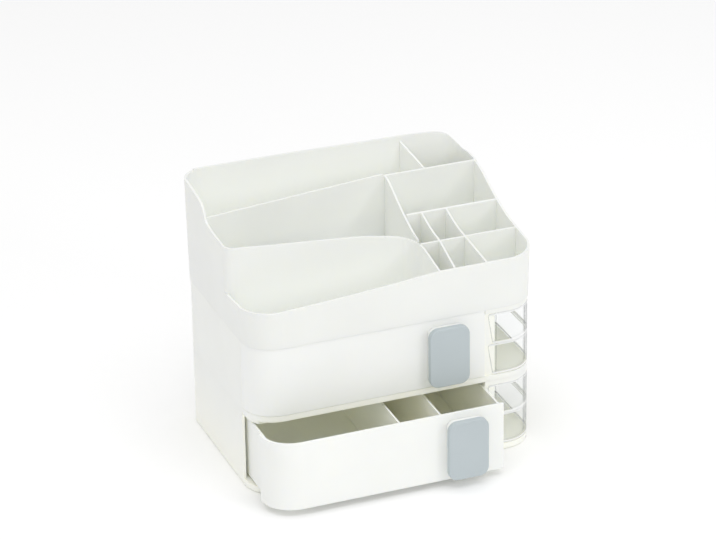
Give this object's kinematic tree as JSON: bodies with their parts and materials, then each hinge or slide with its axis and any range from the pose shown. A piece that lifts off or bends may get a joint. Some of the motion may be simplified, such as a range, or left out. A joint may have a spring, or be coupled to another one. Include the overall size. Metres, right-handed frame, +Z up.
{
  "type": "brush holder with drawers",
  "caption": "White vanity organiser: a stepped tray with brush, bottle and lipstick cells over wide pull-out drawers with grey pads and clear swing-out corner trays.",
  "frame": {"origin": "on the table, under the middle of the whole part's bounds with the lower drawer standing open as at rest", "axes": "+Z up, the drawers' fronts face -Y, the clear trays are at +X"},
  "size_m": [0.2883, 0.2442, 0.2566],
  "materials": {
    "white_case": "satin moulded",
    "white_organiser": "satin moulded",
    "white_drawer": "satin moulded",
    "white_handle": "satin moulded",
    "grey_pad": "fine matt grain",
    "clear_tray": "clear polished plastic",
    "pin": "drawn steel",
    "rubber": "soft grey rubber"
  },
  "bodies": {
    "cabinet": {"lower_housing": "white_case", "upper_housing": "white_case", "organiser_top": "white_organiser", "rubber_feet": "rubber", "lower_tray_pin": "pin", "upper_tray_pin": "pin"},
    "lower_drawer_set": {"lower_drawer": "white_drawer", "lower_handle_base": "white_handle", "lower_handle_pad": "grey_pad"},
    "upper_drawer_set": {"upper_drawer": "white_drawer", "upper_handle_base": "white_handle", "upper_handle_pad": "grey_pad"},
    "lower_bottom_bin": {"lower_tray_bottom": "clear_tray"},
    "lower_top_bin": {"lower_tray_top": "clear_tray"},
    "upper_bottom_bin": {"upper_tray_bottom": "clear_tray"},
    "upper_top_bin": {"upper_tray_top": "clear_tray"}
  },
  "joints": [
    {"name": "lower_drawer_slide", "type": "slide", "parent": "cabinet", "child": "lower_drawer_set", "axis": [0, -1, 0], "range_m": [-0.045, 0.065]},
    {"name": "upper_drawer_slide", "type": "slide", "parent": "cabinet", "child": "upper_drawer_set", "axis": [0, -1, 0], "range_m": [0, 0.11]},
    {"name": "lower_bottom_bin_swing", "type": "hinge", "parent": "cabinet", "child": "lower_bottom_bin", "pos_m": [0.135, 0.02686, 0.008], "axis": [0, 0, 1], "range_deg": [0, 90]},
    {"name": "lower_top_bin_swing", "type": "hinge", "parent": "cabinet", "child": "lower_top_bin", "pos_m": [0.135, 0.02686, 0.0399], "axis": [0, 0, 1], "range_deg": [0, 90]},
    {"name": "upper_bottom_bin_swing", "type": "hinge", "parent": "cabinet", "child": "upper_bottom_bin", "pos_m": [0.135, 0.02686, 0.083], "axis": [0, 0, 1], "range_deg": [0, 90]},
    {"name": "upper_top_bin_swing", "type": "hinge", "parent": "cabinet", "child": "upper_top_bin", "pos_m": [0.135, 0.02686, 0.1149], "axis": [0, 0, 1], "range_deg": [0, 90]}
  ]
}
